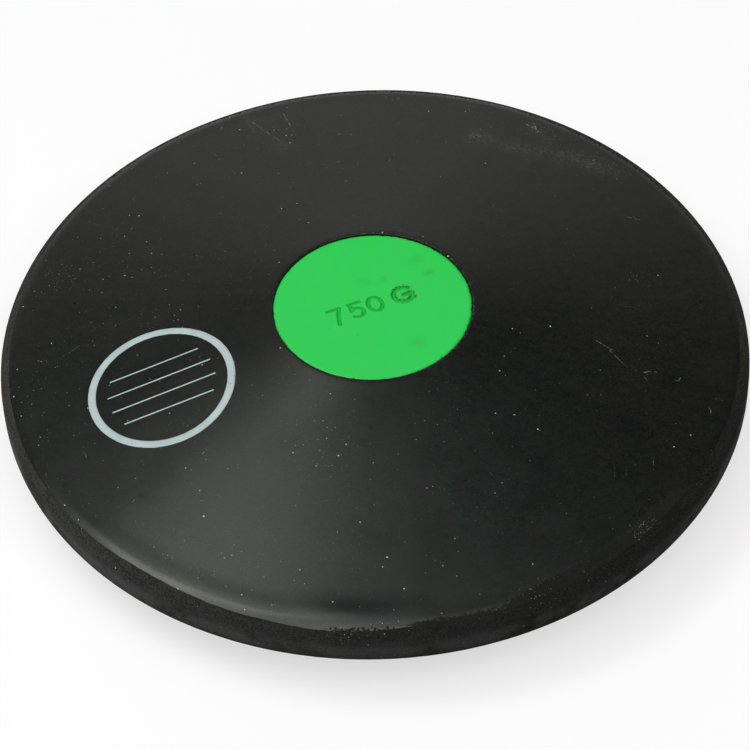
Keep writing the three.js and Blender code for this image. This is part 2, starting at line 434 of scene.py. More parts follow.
def moulded_rubber():
    """Black rubber as it leaves the mould: satin, faintly mottled, with dust, fine scratches, a pale filmy
    layer that partly paints a highlight, and painted shade.
    """
    material, tree, shader, where = new_material("moulded_black_rubber")
    noises = noises_at(tree, where, FACE_NOISES)
    filmed_and_lit = value_of(tree, "filmed_and_lit")
    fibrous = calculated(tree, "SUBTRACT", noises["fibrous"], 0.5)
    scuffed = calculated(tree, "ADD", value_of(tree, "edged"), fibrous)
    frayed = mix_colour(tree, ramp(tree, fibrous, -0.16, 0.16), FRAY_DARK, FRAY_LIGHT)
    pale = face_dust(tree, where, noises, filmed_and_lit)
    colour = painted(
        tree, face_colour(tree, where, noises, filmed_and_lit),
        (ramp(tree, scuffed, 0.44, 0.56), frayed),
        (edge_residue(tree, where), FLASH_CRUMB),
        (pale, DUST_COLOUR),
    )
    satin = ramp(tree, noises["cloudy"], 0.3, 0.75, 0.285, 0.325)
    satin = calculated(tree, "ADD", satin, ramp(tree, noises["mottle"], 0.3, 0.7, -0.015, 0.02))
    for mask, matter in ((pale, 0.5), (ramp(tree, scuffed, 0.49, 0.53), 0.65)):
        satin = calculated(tree, "ADD", satin, product(tree, mask, matter), clamp=True)
    normal = bump(tree, noises["mottle"], 0.012, bump(tree, noises["grain"], 0.004))
    shade(tree, shader, colour, satin, bump(tree, pale, 0.02, normal), ior=RUBBER_IOR, tint=RUBBER_TINT)
    return material


# The buffed rubber of the rim.

RIM_NOISES = {
    "grains": (2700, 3, 0.85),
    "broad": (55, 3, 0.6),
    "patchy": (140, 3, 0.6),
    "hazy": (95, 4, 0.65),
    "coarse": (900, 2, 0.6),
}
STREAK_NOISE = (2400, 3, 0.7)
STREAK_STRETCH = (0.12, 0.12, 1)
GRAINS_SHARE, STREAKS_SHARE = 0.78, 0.22
RIM_DARK, RIM_GREY = (0.0050, 0.0051, 0.0045), (0.0186, 0.0187, 0.0165)
RIM_BROWN = (0.0125, 0.0118, 0.0090)
# Painted light: the paler rim colours and haze for the sides where the light falls most.
LIT_SIDE_DARK, LIT_SIDE_GREY = (0.0190, 0.0196, 0.0160), (0.0800, 0.0812, 0.0680)
HAZE, LIT_SIDE_HAZE = (0.046, 0.0465, 0.048), (0.150, 0.151, 0.140)
HAZE_FROM, HAZE_TO = 3.6 * MM, 0.6 * MM
RIM_CRUMB = (0.085, 0.068, 0.040)
RIM_CRUMBS = (1500, 0.07, 0.16, 0.2)
RIM_DUST = (
    (800, 0.05, 0.12, 0.25, 0.8),
    (1900, 0.08, 0.18, 0.3, 0.2),
)
RIM_HEAPS = (3000, 0.11, 0.27)
RIM_SPECULAR_LEVEL = 0.1

# The sides of the rim painted palest as painted light, where the light falls most, as the photograph
# sees them: where in degrees, how far each spreads and how strongly.
PAINTED_LIT_SIDES = (
    (-175, 64, 1.0),
    (24, 36, 0.6),
    (95, 60, 0.12),
)


def buffed_rubber():
    """Black rubber where the rim was buffed: matt, finely granular, dusty and hazy at its middle, with
    painted light making its lit sides paler.
    """
    material, tree, shader, where = new_material("buffed_black_rubber")
    noises = noises_at(tree, where, RIM_NOISES)
    lit_side = value_of(tree, "lit_side")
    stretched = add(tree, "Mapping", None, vector=where, scale=STREAK_STRETCH).outputs[0]
    streaks = noise_at(tree, stretched, *STREAK_NOISE)
    both = calculated(tree, "ADD", product(tree, noises["grains"], GRAINS_SHARE),
                      product(tree, streaks, STREAKS_SHARE))
    grains = ramp(tree, both, 0.36, 0.64)
    dark = mix_colour(tree, grains, RIM_DARK, RIM_GREY)
    dark = mix_colour(tree, ramp(tree, noises["broad"], 0.42, 0.62, 0, 0.4), dark, RIM_BROWN)
    light = mix_colour(tree, grains, LIT_SIDE_DARK, LIT_SIDE_GREY)
    height = add(tree, "SeparateXYZ", None, vector=where).outputs["Z"]
    from_middle = calculated(tree, "ABSOLUTE", calculated(tree, "SUBTRACT", height, MIDDLE))
    haze = product(tree, ramp(tree, from_middle, HAZE_TO, HAZE_FROM, 1, 0),
                   ramp(tree, noises["hazy"], 0.36, 0.6), ramp(tree, grains, 0, 1, 0.55, 1.0))
    dust = [dust_layer(tree, where, *numbers) for numbers in RIM_DUST]
    dust.append(dust_layer(tree, where, *RIM_HEAPS, value_of(tree, "heaped"), 0.8))
    patches = ramp(tree, noises["patchy"], 0.3, 0.6, 0.8, 1.0)
    colour = painted(
        tree, dark,
        # Painted light: the rim and its haze are paler where the light falls most.
        (product(tree, lit_side, patches), light),
        (haze, mix_colour(tree, lit_side, HAZE, LIT_SIDE_HAZE)),
        (product(tree, specks(tree, where, *RIM_CRUMBS)[0], 0.6), RIM_CRUMB),
        (most(tree, *dust), DUST_COLOUR),
    )
    normal = bump(tree, both, 0.03, bump(tree, noises["coarse"], 0.05))
    shade(tree, shader, colour, ramp(tree, both, 0.3, 0.7, 1.0, 0.9), normal, ior=RUBBER_IOR,
          level=RIM_SPECULAR_LEVEL)
    return material


# The plates' green rubber.

PLATE_NOISES = {
    "cloudy": (70, 3, 0.55, 0.4),
    "fine": (420, 3, 0.6),
    "gritty": (2300, 2, 0.7),
    "bitten": (1500, 3, 0.75),
    "grain": (1700, 3, 0.6),
}
PLATE_GREEN, PLATE_DEEPER = (0.0195, 0.752, 0.0925), (0.0275, 0.722, 0.110)
SMUDGE = (0.03, 0.22, 0.04)
GRIME = (0.02, 0.12, 0.02)
GRIME_SPECKS = (900, 0.05, 0.14, 0.02)
# Painted shade in the sunk mark, darker where the groove is deeper.
SUNK_SHADE_GREEN = (0.0005, 0.45, 0.031)
RESIDUE = (0.010, 0.020, 0.006)
# Painted shade along the plate's edge, strongest on its near right side.
EDGE_SHADE_GREEN = (0.010, 0.34, 0.040)
BITTEN_EDGE = (0.008, 0.020, 0.006)

# Faint dark smudges on the upper plate, as the photograph sees it, in millimetres.
SMUDGED_PLACES = (
    (2.6, 8.4, 1.6, 0.5),
    (-2.0, 7.6, 2.4, 0.3),
    (10.4, 14.0, 3.0, 0.35),
    (13.2, 9.4, 2.2, 0.6),
    (9.4, -11.5, 3.2, 0.3),
    (-3.6, -8.6, 0.35, 1.0),
    (-4.2, -9.7, 0.25, 0.8),
)


def plate_rubber():
    """Green rubber: satin, with faint smudges, residue of black rubber in the sunk mark, and painted shade in
    the mark and along the near edge.
    """
    material, tree, shader, where = new_material("green_plate_rubber")
    noises = noises_at(tree, where, PLATE_NOISES)
    fine = noises["fine"]
    sunk, edged = value_of(tree, "sunk"), value_of(tree, "edged")
    smudged = product(tree, place_mask(tree, where, SMUDGED_PLACES), ramp(tree, fine, 0.25, 0.6), 0.6)
    residue = product(tree, value_of(tree, "stained"), ramp(tree, noises["gritty"], 0.44, 0.54))
    near = ramp(tree, along_photo(tree, where, 0.7, -0.7), -0.4 * PLATE_RADIUS, 0.9 * PLATE_RADIUS,
                0.35, 0.95)
    bitten = ramp(tree, calculated(tree, "MULTIPLY_ADD", noises["bitten"], 1.6, edged), 1.75, 1.9)
    colour = painted(
        tree, mix_colour(tree, ramp(tree, noises["cloudy"], 0.3, 0.7), PLATE_GREEN, PLATE_DEEPER),
        (smudged, SMUDGE),
        (product(tree, specks(tree, where, *GRIME_SPECKS)[0], 0.3), GRIME),
        # Painted shade in the sunk mark.
        (product(tree, ramp(tree, sunk, 0.04, 0.6), 0.85), SUNK_SHADE_GREEN),
        (product(tree, residue, 0.9), RESIDUE),
        # Painted shade along the edge, strongest on the near right.
        (product(tree, edged, near), EDGE_SHADE_GREEN),
        (product(tree, bitten, 0.85), BITTEN_EDGE),
    )
    satin = ramp(tree, fine, 0.3, 0.7, 0.46, 0.56)
    satin = calculated(tree, "MULTIPLY_ADD", most(tree, sunk, residue), 0.3, satin)
    shade(tree, shader, colour, satin, bump(tree, noises["grain"], 0.006), ior=RUBBER_IOR)
    return material


# The printed ink.

INK_NOISES = {
    "patchy": (240, 3, 0.6),
    "worn": (1300, 3, 0.7),
    "grain": (1500, 2, 0.6),
}
INK_PALE, INK_PALER = (0.50, 0.62, 0.63), (0.57, 0.69, 0.69)
INK_PINHOLES = (1300, 0.08, 0.22, 0.08)
SHOWING_RUBBER = (0.02, 0.022, 0.021)


def print_ink():
    """Pale ink, printed thin, with pinholes and worn spots where the rubber shows through."""
    material, tree, shader, where = new_material("pale_print_ink")
    noises = noises_at(tree, where, INK_NOISES)
    patchy = noises["patchy"]
    gone = most(tree, specks(tree, where, *INK_PINHOLES)[0], ramp(tree, noises["worn"], 0.66, 0.76))
    colour = painted(
        tree, mix_colour(tree, ramp(tree, patchy, 0.3, 0.7), INK_PALE, INK_PALER),
        (product(tree, gone, 0.7), SHOWING_RUBBER),
    )
    shade(tree, shader, colour, ramp(tree, patchy, 0.3, 0.7, 0.5, 0.62),
          bump(tree, noises["grain"], 0.008), ior=RUBBER_IOR)
    return material


# The core's steel.

BRUSHED_TURN = 0.2
BRUSHED_STRETCH = (30, 1800, 300)
BRUSHED_NOISE = (1, 3, 0.6)
SCALE_NOISE = (90, 4, 0.6)
STEEL_DARK, STEEL_LIGHT = (0.30, 0.31, 0.32), (0.45, 0.46, 0.47)
MILL_SCALE = (0.16, 0.12, 0.09)


def core_steel():
    """Plain cut steel plate, as it lies hidden in the moulding."""
    material, tree, shader, where = new_material("core_steel")
    turned = add(tree, "Mapping", None, vector=where, rotation=(0, 0, BRUSHED_TURN)).outputs[0]
    stretched = add(tree, "Mapping", None, vector=turned, scale=BRUSHED_STRETCH).outputs[0]
    lines = noise_at(tree, stretched, *BRUSHED_NOISE)
    colour = painted(
        tree, mix_colour(tree, ramp(tree, lines, 0.3, 0.7), STEEL_DARK, STEEL_LIGHT),
        (ramp(tree, noise_at(tree, where, *SCALE_NOISE), 0.5, 0.7, 0, 0.5), MILL_SCALE),
    )
    shade(tree, shader, colour, ramp(tree, lines, 0.3, 0.7, 0.3, 0.48), bump(tree, lines, 0.01),
          metallic=1.0)
    return material


# The body's shape

TURN_STEPS = 720
LIP_STEPS = 4
TAPER_STEPS = 28
OUTER_TAPER_STEPS = 20
SHOULDER_STEPS = 14
BEVEL_STEPS = 4
CORNER_STEPS = 9
FLANK_STEPS = 4
KEY_STEPS = 48
# What a ring of the section belongs to. The first two also number the materials.
MOULDED, BUFFED, INSIDE = 0, 1, 2
# The noises' seeds for the upper and the lower side, and how far a seed of one turns the swells.
UPPER_SEED, LOWER_SEED = 0.0, 2.3
SEED_TURN_DEGREES = 131

# How the break line wanders in and out of its mean circle: where, as the photograph sees it in
# degrees, how far it spreads, and how far out it goes in millimetres.
BREAK_SWELLS = (
    (-158, 17, 0.50),
    (-127, 9, -0.46),
    (-98, 8, 0.42),
    (-84, 6, -0.34),
    (-64, 14, -0.10),
    (-35, 17, -0.66),
    (25, 16, 0.25),
    (80, 20, -0.20),
    (130, 18, 0.22),
)
# The pale filmy layer over the outer face, which partly paints the softbox's highlight there, as the
# photograph sees it: the sector's two sides and how soft they are in degrees, then in millimetres the
# radii between which it sets in and the ring where it is thin, which paints the darker reflection in
# the hollow, and how its first side wanders along the radius, as reach, waves and start.
FILM_HIGHLIGHT_FROM, FILM_HIGHLIGHT_FROM_SOFTNESS = -137.4, 1.0
FILM_HIGHLIGHT_TO, FILM_HIGHLIGHT_TO_SOFTNESS = -101, 5.0
FILM_HIGHLIGHT_INNER, FILM_HIGHLIGHT_FULL = 34, 68
FILM_HIGHLIGHT_THIN_RADIUS, FILM_HIGHLIGHT_THIN_WIDTH, FILM_HIGHLIGHT_THINNING = 78, 1.7, 0.75
FILM_HIGHLIGHT_WANDER = ((1.2, 0.31, 0), (0.7, 0.83, 1))
# Where the buffing ran over onto the face, as the photograph sees it: where and how far each place
# spreads in degrees, how strongly it is scuffed, and its width in millimetres. The rest of the
# break is scuffed faintly.
SCUFFED_PLACES = (
    (-54, 18, 1.6, 4.6),
    (-79, 10, 0.73, 3.2),
    (-94, 8, 0.6, 3.0),
    (45, 30, 0.68, 2.8),
    (100, 60, 0.6, 2.6),
)
SCUFFED_LEAST = (0.25, 3.4)
# Low swellings of the face just inside the shoulder: where in degrees, how far they spread, their
# radius, half width and rise in millimetres.
SHOULDER_SWELLS = (
    (-136, 8, 80.5, 2.2, 0.16),
    (-118, 13, 79.8, 2.4, 0.13),
    (-97.5, 7, 79.4, 3.0, 0.42),
    (-87, 5, 79.2, 3.0, 0.13),
    (-78, 7, 78.6, 2.2, -0.03),
    (40, 25, 79.0, 3.0, 0.03),
    (115, 30, 78.5, 3.0, -0.03),
)
OUTER_TAPER_FROM = 73 * MM
TAPER_START = 23.0 * MM
TAPER_BEND = 0.2 * MM
TAPER_FROM = 24.0 * MM
# The break line's small unevenness, as waves in a turn and their reach in millimetres.
BREAK_RIPPLES = ((31, 0.03), (67, 0.025), (113, 0.02), (211, 0.012))
WAVE_DEPTH = 0.035 * MM
WAVE_SCALE = 22.0
WAVE_SEED = 5.0
WAVE_INNER_FADE, WAVE_OUTER_FADE = 12 * MM, 5 * MM
RIM_GRAIN = 0.05 * MM
RIM_GRAIN_SCALE = 700
RECESS_LIP = 0.12 * MM
RECESS_LIP_DEPTH = 1.2 * MM
RECESS_FLASH = 0.22 * MM
# How the recess's edge wanders and is nicked: fineness, seed and reach in millimetres.
RECESS_WANDERS = ((9, 3, 0.06), (60, 7, 0.04))
RECESS_NICKS = (85, 5, 0.22)
NICKED_FROM = 0.15
KEY_ROUNDING = 0.4 * MM
KEY_SHARP = math.radians(35)

# Where dust gathers on the upper face, as the photograph sees it, in millimetres: right, away,
# reach and how thickly.
DUSTY_PLACES = (
    (36, 63, 6, 0.5),
    (48, 56, 7, 0.9),
    (58, 51, 6, 0.8),
    (40, 66, 5, 0.8),
    (26, 77, 6, 0.85),
    (10, 77, 5, 0.75),
    (-24, 70, 6, 0.75),
    (-19, 62, 5, 0.4),
    (-54, 31, 7, 0.6),
    (-70, 22, 7, 0.7),
    (-66, -4, 15, 0.6),
    (-70, -26, 12, 0.4),
    (-50, 8, 14, 0.4),
    (-46, -34, 12, 0.25),
    (58, -14, 8, 0.15),
    (-4, -36, 20, 0.35),
    (16, -46, 20, 0.45),
    (30, -60, 12, 0.35),
    (-34, -66, 14, 0.4),
)
# Heaps of coarse pale dust.
HEAPED_PLACES = (
    (56.2, -58.3, 1.5, 1.5),
    (54.6, -60.0, 1.0, 0.8),
    (58.4, -56.6, 1.1, 0.9),
    (59.5, 12.2, 1.3, 0.5),
    (-14.0, -82.0, 0.6, 0.4),
    (-12.5, -82.4, 0.6, 0.5),
    (-11.1, -82.6, 0.65, 0.7),
    (-9.8, -82.8, 0.65, 0.9),
    (-8.5, -82.9, 0.65, 1.1),
    (-7.3, -83.0, 0.65, 1.0),
    (-6.0, -83.0, 0.6, 0.8),
    (-4.7, -82.9, 0.6, 0.5),
    (32.6, -75.9, 3.0, 0.25),
    (44.6, -70.1, 2.2, 0.18),
    (26.6, 62.1, 1.8, 0.40),
    (57, 52, 3.6, 0.22),
    (42.5, 65.8, 2.4, 0.25),
    (9, 78, 2.2, 0.25),
    (-72, 23, 3.0, 0.20),
)
# Faint drifts of fine powder.
POWDERED_PLACES = (
    (26.6, 62.1, 2.0, 1.0),
    (25.0, 61.0, 1.8, 0.6),
    (29.2, 60.6, 2.0, 0.55),
    (32.1, 58.7, 1.8, 0.5),
    (35.0, 57.8, 2.2, 0.75),
    (37.9, 57.0, 2.0, 0.55),
    (41.5, 56.6, 2.4, 0.5),
    (46.2, 55.2, 2.8, 0.6),
    (49.7, 54.5, 2.8, 0.7),
    (53.1, 52.6, 3.0, 0.7),
    (56.0, 51.2, 2.6, 0.5),
    (59.0, 49.6, 2.4, 0.35),
    (41.1, 65.0, 2.2, 0.4),
    (43.4, 61.8, 2.4, 0.3),
    (-28.0, 73.0, 2.6, 0.3),
    (-24.0, 67.0, 2.2, 0.25),
    (-20.0, 60.5, 2.4, 0.3),
)
# Where the rubber has bloomed to a faint teal.
BLOOMED_PLACES = (
    (-56, -40, 19, 0.9),
    (-72, -22, 16, 0.35),
    (-48, -16, 18, 0.25),
    (8, -60, 30, 1.0),
    (14, -32, 24, 0.45),
    (40, -62, 22, 0.25),
)


def on_arc(r, z, radius, angle):
    """A point on an arc round a middle in the section."""
    return r + radius * math.cos(angle), z + radius * math.sin(angle)


def shoulder_centre():
    """The middle of the shoulder's arc in the section, as radius and height."""
    normal = math.pi / 2 - SHOULDER_END_SLOPE
    return (RADIUS - BUFFED_WIDTH - SHOULDER_RADIUS * math.cos(normal),
            BREAK_HEIGHT - SHOULDER_RADIUS * math.sin(normal))


def taper_normal():
    """The direction of the taper's normal: the taper leaves the land and touches the shoulder."""
    centre_r, centre_z = shoulder_centre()
    across, down = centre_r - LAND_OUTER, centre_z - HALF_THICKNESS
    return math.atan2(down, across) + math.asin(SHOULDER_RADIUS / math.hypot(across, down)) + math.pi / 2


SHOULDER_R, SHOULDER_Z = shoulder_centre()
TAPER_NORMAL = taper_normal()
TAPER_END, TAPER_END_Z = on_arc(SHOULDER_R, SHOULDER_Z, SHOULDER_RADIUS, TAPER_NORMAL)
CORNER_R = RADIUS - CORNER_RADIUS
BEVEL_NORMAL = math.pi / 2 - BEVEL_SLOPE
CORNER_Z = (BREAK_HEIGHT - BUFFED_WIDTH * math.tan(BEVEL_SLOPE)
            - CORNER_RADIUS * math.tan(BEVEL_NORMAL / 2))


def from_peak(seen, peak):
    """How far one direction lies from another in degrees, from -180 to 180."""
    return (seen - peak + 180) % 360 - 180


def seen_from(azimuth, seed):
    """An azimuth in degrees as photographed, turned further for a seed."""
    return math.degrees(azimuth - PHOTO_TURN) + SEED_TURN_DEGREES * seed


def round_noise(azimuth, fineness, seed):
    """Noise round the disc that closes on itself."""
    return noise.noise(Vector((math.cos(azimuth) * fineness, math.sin(azimuth) * fineness, seed)))


def break_shift(azimuth, seed):
    """How far the break line lies outside its mean circle at an azimuth."""
    seen = seen_from(azimuth, seed)
    shift = 0
    for peak, spread_degrees, reach in BREAK_SWELLS:
        shift += reach * math.exp(-(from_peak(seen, peak) / spread_degrees) ** 2)
    for waves, reach in BREAK_RIPPLES:
        shift += reach * math.sin(waves * math.radians(seen))
    return shift * MM


def film_and_highlight_at(points):
    """How thickly the pale filmy layer, which partly paints a highlight, covers each point of the face."""
    seen = from_peak(np.degrees(np.arctan2(points[:, 1], points[:, 0]) - PHOTO_TURN), 0)
    radii = np.hypot(points[:, 0], points[:, 1]) / MM
    wander = sum(reach * np.sin(radii * waves + start) for reach, waves, start in FILM_HIGHLIGHT_WANDER)
    rise = 1 / (1 + np.exp(-(seen - FILM_HIGHLIGHT_FROM - wander) / FILM_HIGHLIGHT_FROM_SOFTNESS))
    fall = 1 / (1 + np.exp((seen - FILM_HIGHLIGHT_TO) / FILM_HIGHLIGHT_TO_SOFTNESS))
    hollow = 1 - FILM_HIGHLIGHT_THINNING * np.exp(-((radii - FILM_HIGHLIGHT_THIN_RADIUS) / FILM_HIGHLIGHT_THIN_WIDTH) ** 2)
    return rise * fall * soft_step(radii, FILM_HIGHLIGHT_INNER, FILM_HIGHLIGHT_FULL) * hollow


def scuffed_at(azimuth, inside):
    """How scuffed the face is at a distance inside the break line."""
    seen = math.degrees(azimuth - PHOTO_TURN)
    least, width = SCUFFED_LEAST
    scuffed = max(least * (1 - inside / (width * MM)), 0)
    for peak, spread_degrees, strength, width in SCUFFED_PLACES:
        here = strength * math.exp(-(from_peak(seen, peak) / spread_degrees) ** 4)
        scuffed = max(scuffed, here * (1 - inside / (width * MM)))
    return scuffed


def swelling(azimuth, r, seed):
    """How far the face stands above its section near the shoulder."""
    seen = seen_from(azimuth, seed)
    height = 0
    for peak, spread_degrees, middle, width, rise in SHOULDER_SWELLS:
        off = from_peak(seen, peak) / spread_degrees
        height += rise * math.exp(-off ** 2 - ((r / MM - middle) / width) ** 2)
    return height * MM


def gathered_at(points, places):
    """How strongly each point of the face lies in some places, from numbers as photographed."""
    total = np.zeros(len(points))
    for right, away, reach, strength in places:
        at = photo_place(right * MM, away * MM)
        gap = np.hypot(points[:, 0] - at.x, points[:, 1] - at.y)
        total = np.maximum(total, strength * np.exp(-(gap / (reach * MM)) ** 2))
    return total


def waviness(x, y, seed):
    """The moulded face's slight unevenness, below its true form, at a place on it."""
    r = math.hypot(x, y)
    fade = min(max((r - LAND_OUTER) / WAVE_INNER_FADE, 0), 1)
    fade *= min(max((RADIUS - BUFFED_WIDTH - r) / WAVE_OUTER_FADE, 0), 1)
    at = Vector((x * WAVE_SCALE, y * WAVE_SCALE, WAVE_SEED + seed))
    return -WAVE_DEPTH * fade * (0.5 + 0.5 * noise.noise(at))


def face_height(r):
    """The height of the moulded face above the middle plane at a radius."""
    if r < TAPER_START:
        return HALF_THICKNESS
    if r < TAPER_END:
        fall = TAPER_END_Z - HALF_THICKNESS
        return HALF_THICKNESS + fall * (r - TAPER_START) / (TAPER_END - TAPER_START)
    return SHOULDER_Z + math.sqrt(max(SHOULDER_RADIUS ** 2 - (r - SHOULDER_R) ** 2, 0))


def spread(first, last, steps):
    return [first + (last - first) * i / steps for i in range(steps + 1)]


def full_turn(steps):
    return [2 * math.pi * j / steps for j in range(steps)]


def recess_wall(azimuth, seed):
    """The radius of the recess's wall at an azimuth, with its thin flash inwards."""
    uneven = 0
    for fineness, start, reach in RECESS_WANDERS:
        uneven += reach * MM * round_noise(azimuth, fineness, start + seed)
    fineness, start, reach = RECESS_NICKS
    uneven -= reach * MM * max(round_noise(azimuth, fineness, start + seed) - NICKED_FROM, 0)
    return RECESS_RADIUS - RECESS_FLASH + uneven


def half_rings(azimuth, seed):
    """The section of one half at an azimuth, as radius, height and zone, from the recess out."""
    wall = recess_wall(azimuth, seed)
    rings = [(wall, SEAT_HEIGHT, MOULDED), (wall, HALF_THICKNESS - RECESS_LIP_DEPTH, MOULDED)]
    for angle in spread(math.pi, math.pi / 2, LIP_STEPS):
        lip = on_arc(wall + RECESS_LIP, HALF_THICKNESS - RECESS_LIP, RECESS_LIP, angle)
        rings.append((*lip, MOULDED))
    radii = [TAPER_START - TAPER_BEND, TAPER_START + TAPER_BEND]
    radii += spread(TAPER_FROM, OUTER_TAPER_FROM, TAPER_STEPS)
    radii += spread(OUTER_TAPER_FROM, TAPER_END, OUTER_TAPER_STEPS)[1:]
    rings.extend((r, face_height(r), MOULDED) for r in radii)
    edge_r = RADIUS - BUFFED_WIDTH + break_shift(azimuth, seed)
    edge_normal = math.acos((edge_r - SHOULDER_R) / SHOULDER_RADIUS)
    for angle in spread(TAPER_NORMAL, edge_normal, SHOULDER_STEPS)[1:]:
        rings.append((*on_arc(SHOULDER_R, SHOULDER_Z, SHOULDER_RADIUS, angle), MOULDED))
    edge_r, edge_z, _ = rings[-1]
    foot_r, foot_z = on_arc(CORNER_R, CORNER_Z, CORNER_RADIUS, BEVEL_NORMAL)
    for share in spread(0, 1, BEVEL_STEPS)[1:]:
        rings.append((edge_r + (foot_r - edge_r) * share, edge_z + (foot_z - edge_z) * share, BUFFED))
    for angle in spread(BEVEL_NORMAL, 0, CORNER_STEPS)[1:]:
        rings.append((*on_arc(CORNER_R, CORNER_Z, CORNER_RADIUS, angle), BUFFED))
    rings.extend((RADIUS, z, BUFFED) for z in spread(CORNER_Z, 0, FLANK_STEPS)[1:])
    return rings + [(POCKET_RADIUS, 0, INSIDE), (POCKET_RADIUS, POCKET_HEIGHT, INSIDE)]


def add_mesh(name, points, faces, materials, face_materials=None):
    mesh = bpy.data.meshes.new(name)
    mesh.from_pydata(points, [], faces)
    for material in materials:
        mesh.materials.append(material)
    if face_materials is not None:
        mesh.polygons.foreach_set("material_index", face_materials)
    mesh.polygons.foreach_set("use_smooth", [True] * len(faces))
    mesh.update()
    made = bpy.data.objects.new(name, mesh)
    bpy.context.scene.collection.objects.link(made)
    return made


def mark_sharp(mesh, rings, steps):
    """Keeps the shading crisp along whole rings of a turned mesh."""
    pairs = [(edge.vertices[0] // steps, edge.vertices[1] // steps) for edge in mesh.edges]
    sharp = [first == second and first in rings for first, second in pairs]
    attribute = mesh.attributes.new("sharp_edge", "BOOLEAN", "EDGE")
    attribute.data.foreach_set("value", sharp)


def body_points(columns, zones, seed, up):
    """The points of one half, ring by ring, and how scuffed each is."""
    last_moulded = zones.index(BUFFED) - 1
    points, scuffed = [], []
    for i, zone in enumerate(zones):
        for azimuth, column in zip(full_turn(TURN_STEPS), columns):
            r, z, _ = column[i]
            x, y = math.cos(azimuth), math.sin(azimuth)
            if zone == MOULDED:
                z += waviness(r * x, r * y, seed) + swelling(azimuth, r, seed)
            elif zone == BUFFED and z > 0:
                at = Vector((r * x, r * y, z)) * RIM_GRAIN_SCALE
                r -= RIM_GRAIN * (0.5 + 0.5 * noise.noise(at))
            points.append((r * x, r * y, MIDDLE + up * z))
            inside = column[last_moulded][0] - r
            scuffed.append(scuffed_at(azimuth, inside) if zone == MOULDED else 0)
    return points, scuffed


def join_rings(faces, inner, outer):
    """Quads between two rings that run anticlockwise, seen from outside."""
    for j in range(len(inner)):
        k = (j + 1) % len(inner)
        faces.append((inner[j], outer[j], outer[k], inner[k]))


def body_half(name, up, materials):
    """One rubber half, from its recess over the face and the rim to the middle plane."""
    seed = UPPER_SEED if up > 0 else LOWER_SEED
    columns = [half_rings(azimuth, seed) for azimuth in full_turn(TURN_STEPS)]
    zones = [zone for _, _, zone in columns[0]]
    points, scuffed = body_points(columns, zones, seed, up)
    rings = [list(range(i * TURN_STEPS, (i + 1) * TURN_STEPS)) for i in range(len(zones))]
    faces, paints = [], []
    for inner, outer, zone in zip(rings, rings[1:], zones[1:]):
        join_rings(faces, inner, outer)
        paints.extend([BUFFED if zone == BUFFED else MOULDED] * TURN_STEPS)
    for ring, height, order in ((rings[0], SEAT_HEIGHT, 1), (rings[-1], POCKET_HEIGHT, -1)):
        hub = len(points)
        points.append((0, 0, MIDDLE + up * height))
        faces.extend((hub, a, b)[::order] for a, b in zip(ring, ring[1:] + ring[:1]))
        paints.extend([MOULDED] * TURN_STEPS)
    made = add_mesh(name, points, [face[::up] for face in faces], materials, paints)
    edge, end = zones.index(BUFFED) - 1, len(zones) - 1
    mark_sharp(made.data, [0, edge, end - 2, end - 1, end], TURN_STEPS)
    add_body_values(made.data, np.array(points), up)
    add_values(made.data, "edged", scuffed + [0, 0])
    return made


def add_body_values(mesh, places, up):
    """What the materials read on one half: where it is dusty and bloomed, where the pale filmy layer and its
    painted highlight lie, and where the rim is painted paler as lit.
    """
    for value, table in (("dusty", DUSTY_PLACES), ("heaped", HEAPED_PLACES),
                         ("powdered", POWDERED_PLACES), ("bloomed", BLOOMED_PLACES)):
        add_values(mesh, value, gathered_at(places, table) * (up > 0 or value == "bloomed"))
    add_values(mesh, "filmed_and_lit", film_and_highlight_at(places) * (up > 0))
    lit_side = np.zeros(len(places))
    seen = np.degrees(np.arctan2(places[:, 1], places[:, 0]) - PHOTO_TURN)
    for peak, spread_degrees, strength in PAINTED_LIT_SIDES:
        here = strength * np.exp(-(from_peak(seen, peak) / spread_degrees) ** 2)
        lit_side = np.maximum(lit_side, here)
    add_values(mesh, "lit_side", lit_side)


def add_values(mesh, name, values):
    attribute = mesh.attributes.new(name, "FLOAT", "POINT")
    attribute.data.foreach_set("value", np.asarray(values, np.float32))


def keys(name, up, material):
    """The short round keys that hang in the core's holes, down to the middle plane."""
    points, faces = [], []
    for angle in full_turn(KEY_COUNT):
        cx, cy = KEY_CIRCLE * math.cos(angle), KEY_CIRCLE * math.sin(angle)
        rings = []
        for r, z in ((KEY_RADIUS, POCKET_HEIGHT), (KEY_RADIUS, KEY_ROUNDING), (KEY_RADIUS - KEY_ROUNDING, 0)):
            rings.append(list(range(len(points), len(points) + KEY_STEPS)))
            for turn in full_turn(KEY_STEPS):
                points.append((cx + r * math.cos(turn), cy + r * math.sin(turn), MIDDLE + up * z))
        made = [tuple(rings[0]), tuple(rings[-1][::-1])]
        for upper, lower in zip(rings, rings[1:]):
            join_rings(made, upper, lower)
        faces.extend(face[::up] for face in made)
    made = add_mesh(name, points, faces, [material])
    made.data.set_sharp_from_angle(angle=KEY_SHARP)
    return made


# The centre plates and the mark sunk in them

# The mark's own sizes are in millimetres.
MARK_HEIGHT = 5.3
MARK_STROKE = 1.05
MARK_DEPTH = 0.55
MARK_RISE = 0.5
ARC_STEPS = 30

